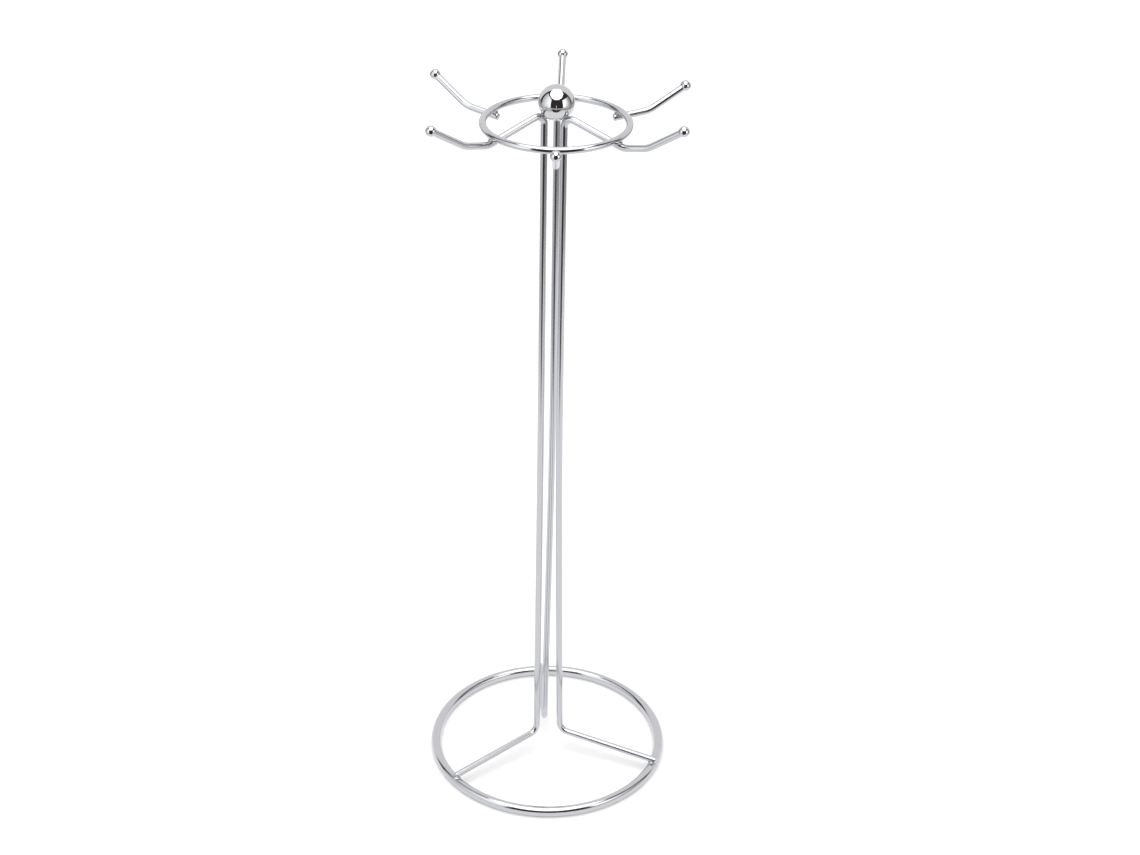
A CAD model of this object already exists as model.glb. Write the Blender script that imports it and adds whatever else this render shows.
import bmesh
import bpy
import math
from mathutils import Matrix, Vector, noise


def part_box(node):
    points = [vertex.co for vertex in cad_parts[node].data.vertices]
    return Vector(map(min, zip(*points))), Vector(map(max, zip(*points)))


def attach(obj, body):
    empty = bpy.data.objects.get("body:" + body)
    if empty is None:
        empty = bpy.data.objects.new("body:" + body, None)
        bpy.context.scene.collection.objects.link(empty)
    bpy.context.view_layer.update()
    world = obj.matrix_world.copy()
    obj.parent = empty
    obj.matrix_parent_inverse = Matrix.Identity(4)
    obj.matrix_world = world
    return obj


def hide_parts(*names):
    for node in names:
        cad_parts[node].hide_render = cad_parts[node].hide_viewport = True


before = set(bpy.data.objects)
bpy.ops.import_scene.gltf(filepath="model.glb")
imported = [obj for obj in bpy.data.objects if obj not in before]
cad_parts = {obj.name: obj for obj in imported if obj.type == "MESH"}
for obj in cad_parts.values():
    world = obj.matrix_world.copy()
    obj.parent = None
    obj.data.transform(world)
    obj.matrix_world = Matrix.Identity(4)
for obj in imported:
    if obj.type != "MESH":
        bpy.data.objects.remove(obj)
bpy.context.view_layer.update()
scene = bpy.context.scene
mm = 0.001
print("frame loaded:", len(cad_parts), "nodes")


# a shader socket that can be used in sums and products
class Value:
    def __init__(self, tree, link):
        self.tree = tree
        self.link = link

    def math(self, operation, first, second):
        return self.tree.node("ShaderNodeMath", {"operation": operation}, [first, second])

    def __add__(self, other):
        return self.math("ADD", self, other)

    def __radd__(self, other):
        return self.math("ADD", other, self)

    def __sub__(self, other):
        return self.math("SUBTRACT", self, other)

    def __rsub__(self, other):
        return self.math("SUBTRACT", other, self)

    def __mul__(self, other):
        return self.math("MULTIPLY", self, other)

    def __rmul__(self, other):
        return self.math("MULTIPLY", other, self)

    def __pow__(self, other):
        return self.math("POWER", self, other)


class NodeTree:
    def __init__(self, tree):
        self.tree = tree
        tree.nodes.clear()

    # one way to make any node: settings first, then what its sockets get
    def node(self, kind, settings=None, inputs=None, output=0):
        made = self.tree.nodes.new(kind)
        for name, value in (settings or {}).items():
            if name == "stops":
                ramp = made.color_ramp
                ramp.elements[0].position, ramp.elements[0].color = value[0]
                ramp.elements[1].position, ramp.elements[1].color = value[-1]
                for position, colour in value[1:-1]:
                    ramp.elements.new(position).color = colour
            else:
                setattr(made, name, value)
        sockets = inputs.items() if isinstance(inputs, dict) else enumerate(inputs or [])
        for key, value in sockets:
            if isinstance(value, Value):
                self.tree.links.new(value.link, made.inputs[key])
            else:
                made.inputs[key].default_value = value
        return Value(self, made.outputs[output]) if len(made.outputs) else None


def newMaterial(name):
    material = bpy.data.materials.new(name)
    material.use_nodes = True
    return material, NodeTree(material.node_tree)


# chrome plate: colour, dulled colour near a weld and roughness of each kind of part,
# and how deep the ripple and the peel are on it
chrome = {
    "wire": {"colour": (0.60, 0.605, 0.63, 1), "dull": (0.50, 0.50, 0.515, 1), "rough": 0.14,
             "ripple": 0.06, "peel": 0.15},
    "ball": {"colour": (0.63, 0.63, 0.645, 1), "dull": (0.53, 0.53, 0.54, 1), "rough": 0.045,
             "ripple": 0.01, "peel": 0.06},
    "weld": {"colour": (0.55, 0.55, 0.57, 1), "dull": (0.40, 0.40, 0.41, 1), "rough": 0.16,
             "ripple": 0.3, "peel": 0.5},
    "rippleSize": 45.0,       # waves per metre left by drawing and bending
    "rippleHeight": 0.6 * mm,
    "peelSize": 900.0,        # fine orange peel in the plate
    "peelHeight": 0.03 * mm,
    "smudgeSize": 140.0,      # faint hazy patches
    "smudgeStops": (0.45, 0.8),
    "hazeDulls": 0.12,
    "hazeRoughens": 0.02,
    "heatRoughens": 0.14,
}


def chromePlate(name, finish):
    material, tree = newMaterial(name)
    place = tree.node("ShaderNodeTexCoord", output=3)
    ripple = tree.node("ShaderNodeTexNoise", None,
                       {"Vector": place, "Scale": chrome["rippleSize"], "Detail": 2.0})
    peel = tree.node("ShaderNodeTexNoise", None,
                     {"Vector": place, "Scale": chrome["peelSize"], "Detail": 3.0})
    rippled = tree.node("ShaderNodeBump", None,
                        {"Strength": finish["ripple"], "Distance": chrome["rippleHeight"],
                         "Height": ripple})
    surface = tree.node("ShaderNodeBump", None,
                        {"Strength": finish["peel"], "Distance": chrome["peelHeight"],
                         "Height": peel, "Normal": rippled})
    # a duller, hazier plate where heat has been, near the welds
    heat = tree.node("ShaderNodeAttribute", {"attribute_name": "weldHeat"}, output=2)
    smudge = tree.node("ShaderNodeTexNoise", None,
                       {"Vector": place, "Scale": chrome["smudgeSize"], "Detail": 5.0,
                        "Roughness": 0.7})
    clear, hazy = chrome["smudgeStops"]
    haze = tree.node("ShaderNodeValToRGB",
                     {"stops": [(clear, (0, 0, 0, 1)), (hazy, (1, 1, 1, 1))]}, [smudge])
    dulled = heat * (0.55 + 0.45 * smudge) + haze * chrome["hazeDulls"]
    colour = tree.node("ShaderNodeMix", {"data_type": "RGBA"},
                       {0: dulled, 6: finish["colour"], 7: finish["dull"]}, output=2)
    roughness = finish["rough"] + haze * chrome["hazeRoughens"] + heat * chrome["heatRoughens"]
    shader = tree.node("ShaderNodeBsdfPrincipled", None,
                       {"Base Color": colour, "Metallic": 1.0, "Roughness": roughness,
                        "Normal": surface})
    tree.node("ShaderNodeOutputMaterial", None, {"Surface": shader})
    return material


wirePlate = chromePlate("chromeWire", chrome["wire"])
ballPlate = chromePlate("chromeBall", chrome["ball"])
weldPlate = chromePlate("platedWeld", chrome["weld"])
print("materials made")


baseLow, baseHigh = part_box("base_ring")
topLow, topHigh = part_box("top_ring")
finialLow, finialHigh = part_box("finial_ball")

# the stand's own dimensions
stand = {
    "wire": 2.0 * mm,
    "baseWire": (baseHigh.z - baseLow.z) / 2,
    "topWire": (topHigh.z - topLow.z) / 2,
    "finial": 10.0 * mm,
    "hookBall": 3.0 * mm,
    "sink": 0.3 * mm,
}
stand["baseRing"] = baseHigh.x - stand["baseWire"]
stand["topRing"] = topHigh.x - stand["topWire"]
stand["topRingHeight"] = (topHigh.z + topLow.z) / 2
finialCentre = Vector((0, 0, finialHigh.z - stand["finial"]))


def around(radius, direction, height):
    angle = math.radians(direction)
    return Vector((radius * math.cos(angle), radius * math.sin(angle), height))


def finishPiece(name, bm, material, slot, *nodes):
    bmesh.ops.remove_doubles(bm, verts=bm.verts, dist=1e-7)
    bmesh.ops.recalc_face_normals(bm, faces=bm.faces)
    mesh = bpy.data.meshes.new(name)
    bm.to_mesh(mesh)
    bm.free()
    mesh.shade_smooth()
    mesh.materials.append(material)
    piece = bpy.data.objects.new(name, mesh)
    scene.collection.objects.link(piece)
    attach(piece, "root")
    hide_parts(*nodes)
    return piece


# how strongly each point has been heated by a weld close to it
def markHeat(piece, weldSpots, reach):
    heat = piece.data.attributes.new("weldHeat", "FLOAT", "POINT")
    for vertex in piece.data.vertices:
        near = min((vertex.co - spot).length for spot in weldSpots)
        heat.data[vertex.index].value = max(0.0, 1.0 - near / reach) ** 1.5


# how finely the rings are turned, and how far the dulled plate reaches from a weld
ringShape = {"around": 320, "section": 40, "dullReach": 7 * mm}


def makeRing(name, radius, wireRadius, height, weldSpots):
    bm = bmesh.new()
    turn = Matrix.Rotation(math.radians(90), 4, "X")
    section = bmesh.ops.create_circle(bm, segments=ringShape["section"], radius=wireRadius,
                                      matrix=Matrix.Translation((radius, 0, height)) @ turn)
    edges = list({edge for vert in section["verts"] for edge in vert.link_edges})
    bmesh.ops.spin(bm, geom=section["verts"] + edges, cent=(0, 0, height), axis=(0, 0, 1),
                   angle=math.tau, steps=ringShape["around"], use_merge=True)
    ring = finishPiece(name + "Chrome", bm, wirePlate, "chrome_wire", name)
    markHeat(ring, weldSpots, ringShape["dullReach"])


# the bent wires: how finely they are made, where they run and how tightly they bend
wireShape = {
    "section": 32,
    "bendSteps": 18,
    "bowSteps": 24,
    "endRound": 0.9 * mm,
    "endSteps": 6,
    "endLoop": 0.3 * mm,
    "dullReach": 7 * mm,
    "headRadius": 6.6 * mm,
    "footRadius": 8.2 * mm,
    "spreadHeight": 215 * mm,
    "legFall": 4.3 * mm,
    "armFall": math.radians(17),
    "armPastRing": 3.0 * mm,
    "hookPastRing": 17.5 * mm,
    "hookDrop": 1.8 * mm,
    "hookRun": 20.9 * mm,
    "hookRise": 13.6 * mm,
    "wireEndInBall": 1.2 * mm,
    "bends": {"foot": 6 * mm, "bow": 6000 * mm, "head": 5 * mm, "arm": 8 * mm, "hook": 15 * mm},
}
# head, foot, leg and hook are directions in degrees; past (beyond the ring) and droop in mm
longWires = {
    "left": {"head": 188.0, "foot": 211.4, "leg": 218.1, "past": 1.2,
             "hook": 214.0, "droop": 0.6},
    "right": {"head": 311.0, "foot": 340.9, "leg": 338.1, "past": 2.8,
              "hook": 328.2, "droop": -0.3},
    "back": {"head": 86.5, "foot": 105.9, "leg": 94.9, "past": 0.6,
             "hook": 87.7, "droop": 0.0},
}
# ring is where a short hook is welded; its stub runs that many mm inside the ring
shortHooks = {
    "front": {"ring": 270.0, "stub": 3.3, "hook": 270.0, "droop": -0.4},
    "back_right": {"ring": 31.0, "stub": 3.0, "hook": 24.5, "droop": 1.2},
    "back_left": {"ring": 150.0, "stub": 3.4, "hook": 149.6, "droop": -0.5},
}


# where an upright plane through two points meets a cylinder round the axis
def outwardFrom(start, towards, fromAxis, height):
    plan = (towards - start).to_2d().normalized()
    middle = start.to_2d().dot(plan)
    apart = start.to_2d().length_squared - fromAxis ** 2
    along = -middle + math.sqrt(middle ** 2 - apart)
    spot = start.to_2d() + plan * along
    return Vector((spot.x, spot.y, height))


underTop = stand["wire"] + stand["topWire"] - stand["sink"]
overBase = stand["wire"] + stand["baseWire"] - stand["sink"]
bendReach = stand["topRing"] + wireShape["hookPastRing"]
bendHeight = stand["topRingHeight"] - wireShape["hookDrop"]
ballReach = bendReach + wireShape["hookRun"]
ballHeight = bendHeight + wireShape["hookRise"]
legSlope = wireShape["legFall"] / (stand["baseRing"] - wireShape["footRadius"])


def armHeight(fromAxis):
    fall = wireShape["armFall"]
    atRing = stand["topRingHeight"] - underTop / math.cos(fall)
    return atRing - (fromAxis - stand["topRing"]) * math.tan(fall)


def legHeight(fromAxis):
    atRing = stand["baseWire"] + overBase * math.sqrt(1 + legSlope ** 2)
    return atRing + (stand["baseRing"] - fromAxis) * legSlope


def hookTip(bend, ball):
    return ball + (bend - ball).normalized() * wireShape["wireEndInBall"]


def longWireCorners(turn):
    legReach = stand["baseRing"] + turn["past"] * mm
    legEnd = around(legReach, turn["leg"], legHeight(legReach))
    foot = around(wireShape["footRadius"], turn["foot"], legHeight(wireShape["footRadius"]))
    bow = around(wireShape["headRadius"], turn["head"], wireShape["spreadHeight"])
    head = around(wireShape["headRadius"], turn["head"], armHeight(wireShape["headRadius"]))
    ball = around(ballReach, turn["hook"], ballHeight - turn["droop"] * mm)
    armReach = stand["topRing"] + wireShape["armPastRing"]
    armEnd = outwardFrom(head, ball, armReach, armHeight(armReach))
    hookBend = outwardFrom(head, ball, bendReach, bendHeight)
    return [legEnd, foot, bow, head, armEnd, hookBend, hookTip(hookBend, ball)], ball


def shortHookCorners(turn):
    run = wireShape["hookPastRing"]
    drop = wireShape["hookDrop"]
    lean = math.asin(underTop / math.hypot(run, drop)) - math.atan2(drop, run)
    stubReach = stand["topRing"] - turn["stub"] * mm
    stubHeight = bendHeight - (run + turn["stub"] * mm) * math.tan(lean)
    atRing = around(stand["topRing"], turn["ring"], 0)
    ball = around(ballReach, turn["hook"], ballHeight - turn["droop"] * mm)
    stub = outwardFrom(atRing, ball, stubReach, stubHeight)
    hookBend = outwardFrom(atRing, ball, bendReach, bendHeight)
    return [stub, hookBend, hookTip(hookBend, ball)], ball


# a round wire that runs straight to each corner and is spun round it
def bendWire(name, corners, bends, weldSpots, nodes):
    bm = bmesh.new()
    first = (corners[1] - corners[0]).normalized()
    facing = first.to_track_quat("Z", "Y").to_matrix().to_4x4()
    rounding = wireShape["endRound"]
    section = bmesh.ops.create_circle(bm, cap_ends=True, segments=wireShape["section"],
                                      radius=stand["wire"] - rounding,
                                      matrix=Matrix.Translation(corners[0]) @ facing)
    ends = [section["verts"]]

    def rimEdges(verts):
        chosen = set(verts)
        return [edge for edge in bm.edges
                if edge.verts[0] in chosen and edge.verts[1] in chosen]

    def runTo(verts, offset, grow=1.0, centre=None):
        grown = bmesh.ops.extrude_edge_only(bm, edges=rimEdges(verts))
        fresh = [item for item in grown["geom"] if isinstance(item, bmesh.types.BMVert)]
        bmesh.ops.translate(bm, verts=fresh, vec=offset)
        if centre is not None:
            bmesh.ops.scale(bm, verts=fresh, vec=(grow, grow, grow),
                            space=Matrix.Translation(-centre))
        return fresh

    # a straight run has a loop close to each end, so that its shading stays straight too
    def runStraight(verts, offset):
        margin = offset.normalized() * min(wireShape["endLoop"], offset.length / 4)
        for part in (margin, offset - margin * 2, margin):
            verts = runTo(verts, part)
        return verts

    # the cut end is rounded over before the wire reaches its full width
    here = corners[0]
    rim = section["verts"]
    for step in range(wireShape["endSteps"]):
        near = math.radians(90) * step / wireShape["endSteps"]
        far = math.radians(90) * (step + 1) / wireShape["endSteps"]
        move = first * rounding * (math.cos(near) - math.cos(far))
        flat = stand["wire"] - rounding
        grow = (flat + rounding * math.sin(far)) / (flat + rounding * math.sin(near))
        rim = runTo(rim, move, grow, here + move)
        here = here + move
    for before, corner, after, radius in zip(corners, corners[1:], corners[2:], bends):
        incoming = (corner - before).normalized()
        outgoing = (after - corner).normalized()
        turnAngle = incoming.angle(outgoing)
        reach = radius * math.tan(turnAngle / 2)
        arcStart = corner - incoming * reach
        rim = runStraight(rim, arcStart - here)
        axis = incoming.cross(outgoing).normalized()
        centre = arcStart + axis.cross(incoming).normalized() * radius
        steps = wireShape["bowSteps"] if radius > 1 else wireShape["bendSteps"]
        spun = bmesh.ops.spin(bm, geom=rimEdges(rim) + list(rim), cent=centre, axis=axis,
                              angle=turnAngle, steps=steps)
        rim = [item for item in spun["geom_last"] if isinstance(item, bmesh.types.BMVert)]
        here = corner + outgoing * reach
    last = (corners[-1] - corners[-2]).normalized()
    rim = runStraight(rim, corners[-1] - here)
    bmesh.ops.contextual_create(bm, geom=rimEdges(rim))
    wire = finishPiece(name, bm, wirePlate, "chrome_wire", *nodes)
    markHeat(wire, weldSpots, wireShape["dullReach"])


# welds: where two pieces were pressed together and a bead squeezed out
weldShape = {"width": 2.7 * mm, "thickness": 1.5 * mm, "finialWidth": 2.3 * mm,
             "finialThickness": 1.0 * mm, "lumps": 0.08,
             "lumpSize": 1.7, "heat": 0.5}


def makeBead(name, centre, facing, width, thickness, node):
    bm = bmesh.new()
    turn = facing.to_track_quat("Z", "Y").to_matrix().to_4x4()
    bmesh.ops.create_icosphere(bm, subdivisions=4, radius=1.0)
    for vert in bm.verts:
        lump = noise.noise(vert.co * weldShape["lumpSize"] + centre * 400)  # each differs
        vert.co *= 1 + lump * weldShape["lumps"]
    bmesh.ops.scale(bm, verts=bm.verts, vec=(width, width, thickness))
    bmesh.ops.transform(bm, verts=bm.verts, matrix=Matrix.Translation(centre) @ turn)
    bead = finishPiece(name, bm, weldPlate, "plated_weld", node)
    heat = bead.data.attributes.new("weldHeat", "FLOAT", "POINT")
    for vertex in bead.data.vertices:
        heat.data[vertex.index].value = weldShape["heat"]


# nearest point of a run of straight pieces to a ring, found by walking along it
def crossing(corners, radius, height):
    best = None
    for start, end in zip(corners, corners[1:]):
        for step in range(401):
            spot = start.lerp(end, step / 400)
            onRing = spot.to_2d().normalized() * radius
            onRing = Vector((onRing.x, onRing.y, height))
            gap = (spot - onRing).length
            if best is None or gap < best[0]:
                best = (gap, spot, onRing)
    return best[1], best[2]


longCorners = {side: longWireCorners(turn) for side, turn in longWires.items()}
shortCorners = {side: shortHookCorners(turn) for side, turn in shortHooks.items()}
baseWelds = {}
topWelds = {}
for side, (corners, ball) in longCorners.items():
    baseWelds[side] = crossing(corners[:2], stand["baseRing"], stand["baseWire"])
    topWelds[side] = crossing(corners[3:5], stand["topRing"], stand["topRingHeight"])
for side, (corners, ball) in shortCorners.items():
    topWelds[side] = crossing(corners[:2], stand["topRing"], stand["topRingHeight"])


def contact(pair, ringWire):
    onWire, onRing = pair
    apart = (onRing - onWire).length
    facing = (onRing - onWire).normalized()
    return onWire + facing * (stand["wire"] - ringWire + apart) / 2, facing


baseSpots = {side: contact(pair, stand["baseWire"]) for side, pair in baseWelds.items()}
topSpots = {side: contact(pair, stand["topWire"]) for side, pair in topWelds.items()}

makeRing("base_ring", stand["baseRing"], stand["baseWire"], stand["baseWire"],
         [spot for spot, facing in baseSpots.values()])
makeRing("top_ring", stand["topRing"], stand["topWire"], stand["topRingHeight"],
         [spot for spot, facing in topSpots.values()])
print("rings made")

bendList = [wireShape["bends"][key] for key in ("foot", "bow", "head", "arm", "hook")]
finialSpots = {}
for side, (corners, ball) in longCorners.items():
    head = corners[3]
    outward = (corners[4] - head).normalized()
    upward = (head - corners[2]).normalized()
    # the middle of the head bend's arc, and the spot on it that the top ball rests on
    turnAngle = upward.angle(outward)
    reach = wireShape["bends"]["head"] * math.tan(turnAngle / 2)
    arcStart = head - upward * reach
    axis = upward.cross(outward).normalized()
    centre = arcStart + axis.cross(upward).normalized() * wireShape["bends"]["head"]
    towardBall = finialCentre - centre
    flat = towardBall - axis * towardBall.dot(axis)
    onWire = centre + flat.normalized() * wireShape["bends"]["head"]
    facing = (finialCentre - onWire).normalized()
    finialSpots[side] = (onWire + facing * (stand["wire"] - stand["sink"] / 2), facing)
    spots = [baseSpots[side][0], topSpots[side][0], finialSpots[side][0]]
    bendWire("longWire_" + side, corners, bendList, spots, ["long_wire_" + side])
for side, (corners, ball) in shortCorners.items():
    bendWire("shortHook_" + side, corners, [wireShape["bends"]["hook"]], [topSpots[side][0]],
             ["short_hook_" + side])
print("wires bent")


# balls: how finely they are turned, and how far the dulled plate reaches from a weld
ballShape = {"around": 96, "upward": 64, "hookDull": 1.6 * mm, "finialDull": 3.0 * mm}


def makeBall(name, centre, radius, towards, dullReach, weldSpots, node):
    bm = bmesh.new()
    turn = towards.to_track_quat("Z", "Y").to_matrix().to_4x4()
    bmesh.ops.create_uvsphere(bm, u_segments=ballShape["around"],
                              v_segments=ballShape["upward"], radius=radius)
    bmesh.ops.transform(bm, verts=bm.verts, matrix=Matrix.Translation(centre) @ turn)
    ball = finishPiece(name, bm, ballPlate, "chrome_ball", node)
    markHeat(ball, weldSpots, dullReach)


for side, (corners, ball) in list(longCorners.items()) + list(shortCorners.items()):
    inward = (corners[-2] - ball).normalized()
    makeBall("hookBall_" + side, ball, stand["hookBall"], inward, ballShape["hookDull"],
             [ball + inward * stand["hookBall"]], "hook_ball_" + side)
makeBall("finialBall", finialCentre, stand["finial"], Vector((0, 0, 1)), ballShape["finialDull"],
         [spot for spot, facing in finialSpots.values()], "finial_ball")
print("balls made")

for side in longWires:
    makeBead("legWeld_" + side, *baseSpots[side], weldShape["width"], weldShape["thickness"],
             "leg_weld_" + side)
    makeBead("armWeld_" + side, *topSpots[side], weldShape["width"], weldShape["thickness"],
             "arm_weld_" + side)
    makeBead("finialWeld_" + side, *finialSpots[side], weldShape["finialWidth"],
             weldShape["finialThickness"], "finial_weld_" + side)
for side in shortHooks:
    makeBead("hookWeld_" + side, *topSpots[side], weldShape["width"], weldShape["thickness"],
             "hook_weld_" + side)
print("welds made")


# studio: white floor, overhead softbox, two side diffusers, dark camera side
studio = {
    "floorSize": 8.0,
    "floorWhite": 0.86,
    "roomLight": 0.90,          # even light on the floor from all round
    "overheadLight": 1.65,      # light from straight above, which gives the soft shadows
    "overheadSpread": 60,       # degrees across
    "softboxHeight": 2.0,
    "softboxGlow": 2.4,         # its brightness in the chrome
    "paperEnds": (0.41, 0.51),  # where the white paper gives out in front of the stand
    "paperHalfWidth": 0.86,
    "farLeftShade": 0.42,       # how much the paper darkens far to the left and the right
    "farRightShade": 0.62,
    "pastPaperShade": 0.68,
    "paperGlow": (1.03, 1.03, 1.045, 1),
    "backdropGlow": (0.94, 0.935, 0.945, 1),
    "cameraSide": (0.046, 0.035, 0.033, 1),  # the dim camera side of the room
    "sideSpill": (0.13, 0.125, 0.12, 1),     # the room to the right, lit by the diffuser's spill
    "diffuserFoot": (0.05, 0.40),            # the height over which the diffusers brighten
    "leftColour": (0.95, 0.975, 1.0, 1),
    "rightColour": (1.0, 0.995, 0.97, 1),
    "leftCorners": [(-0.56, -0.77, 0.0), (-0.93, 0.18, 0.0),
                    (-0.93, 0.18, 1.46), (-0.56, -0.77, 1.0)],
    "rightCorners": [(0.62, -0.72, 0.0), (0.95, 0.07, 0.0),
                     (0.95, 0.07, 0.94), (0.62, -0.72, 0.94)],
    "softboxForward": 0.755,
    "softboxHalfSize": (1.25, 1.49),
    "roomRadius": 5.0,
}


def plainMaterial(name, colour):
    material, tree = newMaterial(name)
    shader = tree.node("ShaderNodeBsdfPrincipled", None,
                       {"Base Color": colour, "Roughness": 0.9, "Specular IOR Level": 0.0})
    tree.node("ShaderNodeOutputMaterial", None, {"Surface": shader})
    return material


# glow(tree, x, y, z) gives a colour and a strength at each point of the sheet
def glowMaterial(name, glow):
    material, tree = newMaterial(name)
    place = tree.node("ShaderNodeNewGeometry", output=0)
    axes = [tree.node("ShaderNodeSeparateXYZ", None, [place], output=axis) for axis in range(3)]
    colour, strength = glow(tree, *axes)
    shader = tree.node("ShaderNodeEmission", None, {"Color": colour, "Strength": strength})
    tree.node("ShaderNodeOutputMaterial", None, {"Surface": shader})
    return material


# a sheet of the studio is seen either by the camera or only in the chrome
def stageSheet(name, bm, material, onlyInChrome=True):
    mesh = bpy.data.meshes.new(name)
    bm.to_mesh(mesh)
    bm.free()
    mesh.materials.append(material)
    sheet = bpy.data.objects.new(name, mesh)
    scene.collection.objects.link(sheet)
    sheet.visible_camera = not onlyInChrome
    sheet.visible_diffuse = not onlyInChrome
    sheet.visible_shadow = not onlyInChrome
    sheet.visible_glossy = onlyInChrome


def flatSheet(corners):
    bm = bmesh.new()
    verts = [bm.verts.new(corner) for corner in corners]
    bmesh.ops.contextual_create(bm, geom=verts)
    return bm


def squareFloor(height):
    half = studio["floorSize"] / 2
    return flatSheet([(-half, -half, height), (half, -half, height),
                      (half, half, height), (-half, half, height)])


# 0 below the first value and 1 above the second, with a soft change between
def fade(tree, value, low, high):
    return tree.node("ShaderNodeMapRange", {"interpolation_type": "SMOOTHSTEP"},
                     [value, low, high, 0.0, 1.0])


def mixed(tree, amount, low, high):
    return tree.node("ShaderNodeMix", {"data_type": "RGBA"}, {0: amount, 6: low, 7: high},
                     output=2)


# the paper gives out in front of the stand, and darkens away from it on both sides
def floorGlow(tree, x, y, z):
    away = (x * x + y * y) ** 0.5
    front = 0 - y
    side = fade(tree, x, -0.10, 0.15)
    leftEdge = 1 - fade(tree, 0 - x - 0.8 * (front - 0.45), 0.08, 0.28)
    rightEdge = 1 - fade(tree, x - 1.2 * (front - 0.45), -0.05, 0.22)
    gap = fade(tree, front, *studio["paperEnds"]) * leftEdge * rightEdge
    farLeft = fade(tree, away, 0.48, 0.66) * (1 - side) * studio["farLeftShade"]
    farRight = fade(tree, away, 0.66, 0.88) * side * studio["farRightShade"]
    distant = (farLeft + farRight) * fade(tree, front, -0.35, -0.05)
    wide = fade(tree, (x * x) ** 0.5, studio["paperHalfWidth"] - 0.05,
                studio["paperHalfWidth"] + 0.05)
    paper = (1 - gap) * (1 - distant) * (1 - wide * studio["pastPaperShade"])
    return mixed(tree, paper, studio["cameraSide"], studio["paperGlow"]), 1.0


# white backdrop behind the stand, dim room round the camera
def roomGlow(tree, x, y, z):
    height = z - finialCentre.z
    reach = (x * x + y * y + height * height) ** 0.5
    behind = y + 0.2 * height + 0.09 * x
    aim = tree.node("ShaderNodeMath", {"operation": "DIVIDE"}, [behind, reach])
    backdrop = fade(tree, aim, 0.37, 0.46)
    aside = tree.node("ShaderNodeMath", {"operation": "DIVIDE"}, [x, reach])
    spill = fade(tree, aside, 0.80, 0.95)
    dim = mixed(tree, spill, studio["cameraSide"], studio["sideSpill"])
    return mixed(tree, backdrop, dim, studio["backdropGlow"]), 1.0


# both diffusers are brighter towards the camera and dimmer at the foot
def leftGlow(tree, x, y, z):
    upper = 0.75 + 0.85 * (1 - fade(tree, y, -0.62, 0.12))
    rise = fade(tree, z, *studio["diffuserFoot"])
    return studio["leftColour"], 0.80 * (1 - rise) + upper * rise


def rightGlow(tree, x, y, z):
    upper = 0.5 + 1.5 * (1 - fade(tree, y, -0.66, 0.0))
    lower = 0.24 + 0.26 * fade(tree, y, -0.66, 0.0)
    rise = fade(tree, z, *studio["diffuserFoot"])
    return studio["rightColour"], lower * (1 - rise) + upper * rise


def softboxGlow(tree, x, y, z):
    return (1.0, 1.0, 1.0, 1), studio["softboxGlow"]


paperWhite = (studio["floorWhite"],) * 3 + (1,)
stageSheet("floor", squareFloor(0), plainMaterial("floorPaper", paperWhite), onlyInChrome=False)
stageSheet("floorInChrome", squareFloor(-0.001), glowMaterial("floorGlow", floorGlow))
stageSheet("diffuserLeft", flatSheet(studio["leftCorners"]),
           glowMaterial("diffuserLeftGlow", leftGlow))
stageSheet("diffuserRight", flatSheet(studio["rightCorners"]),
           glowMaterial("diffuserRightGlow", rightGlow))

# an eight-sided softbox hangs over the stand, a little towards the camera
bm = bmesh.new()
place = (Matrix.Translation((0.0, -studio["softboxForward"], studio["softboxHeight"]))
         @ Matrix.Diagonal((*studio["softboxHalfSize"], 1.0, 1.0))
         @ Matrix.Rotation(math.radians(22.5), 4, "Z"))
bmesh.ops.create_circle(bm, cap_ends=True, segments=8, radius=1.0, matrix=place)
stageSheet("softboxInChrome", bm, glowMaterial("softboxGlow", softboxGlow))

# the rest of the room as the chrome sees it
bm = bmesh.new()
bmesh.ops.create_uvsphere(bm, u_segments=48, v_segments=24, radius=studio["roomRadius"])
stageSheet("roomInChrome", bm, glowMaterial("roomGlow", roomGlow))

light = bpy.data.lights.new("overhead", "SUN")
light.angle = math.radians(studio["overheadSpread"])
light.energy = studio["overheadLight"]
lamp = bpy.data.objects.new("overhead", light)
lamp.location = (0.0, 0.0, studio["softboxHeight"])
lamp.visible_glossy = False
scene.collection.objects.link(lamp)

world = bpy.data.worlds.new("studioRoom")
scene.world = world
world.use_nodes = True
tree = NodeTree(world.node_tree)
background = tree.node("ShaderNodeBackground", None,
                       {"Color": (1, 1, 1, 1), "Strength": studio["roomLight"]})
tree.node("ShaderNodeOutputWorld", None, {"Surface": background})

# the camera looks down on the stand from the front; its angles are in radians
view = {"lens": 61.58, "sensor": 36.0, "place": (-0.0001, -0.99826, 0.80950),
        "pitch": 0.52196, "roll": 0.01962, "yaw": 0.01081}
camera = bpy.data.cameras.new("camera")
camera.sensor_width = view["sensor"]
camera.lens = view["lens"]
viewer = bpy.data.objects.new("camera", camera)
viewer.matrix_world = (Matrix.Translation(view["place"])
                       @ Matrix.Rotation(-view["yaw"], 4, "Z")
                       @ Matrix.Rotation(math.pi / 2 - view["pitch"], 4, "X")
                       @ Matrix.Rotation(view["roll"], 4, "Z"))
scene.collection.objects.link(viewer)
scene.camera = viewer
scene.view_settings.view_transform = "Standard"
print("studio set")
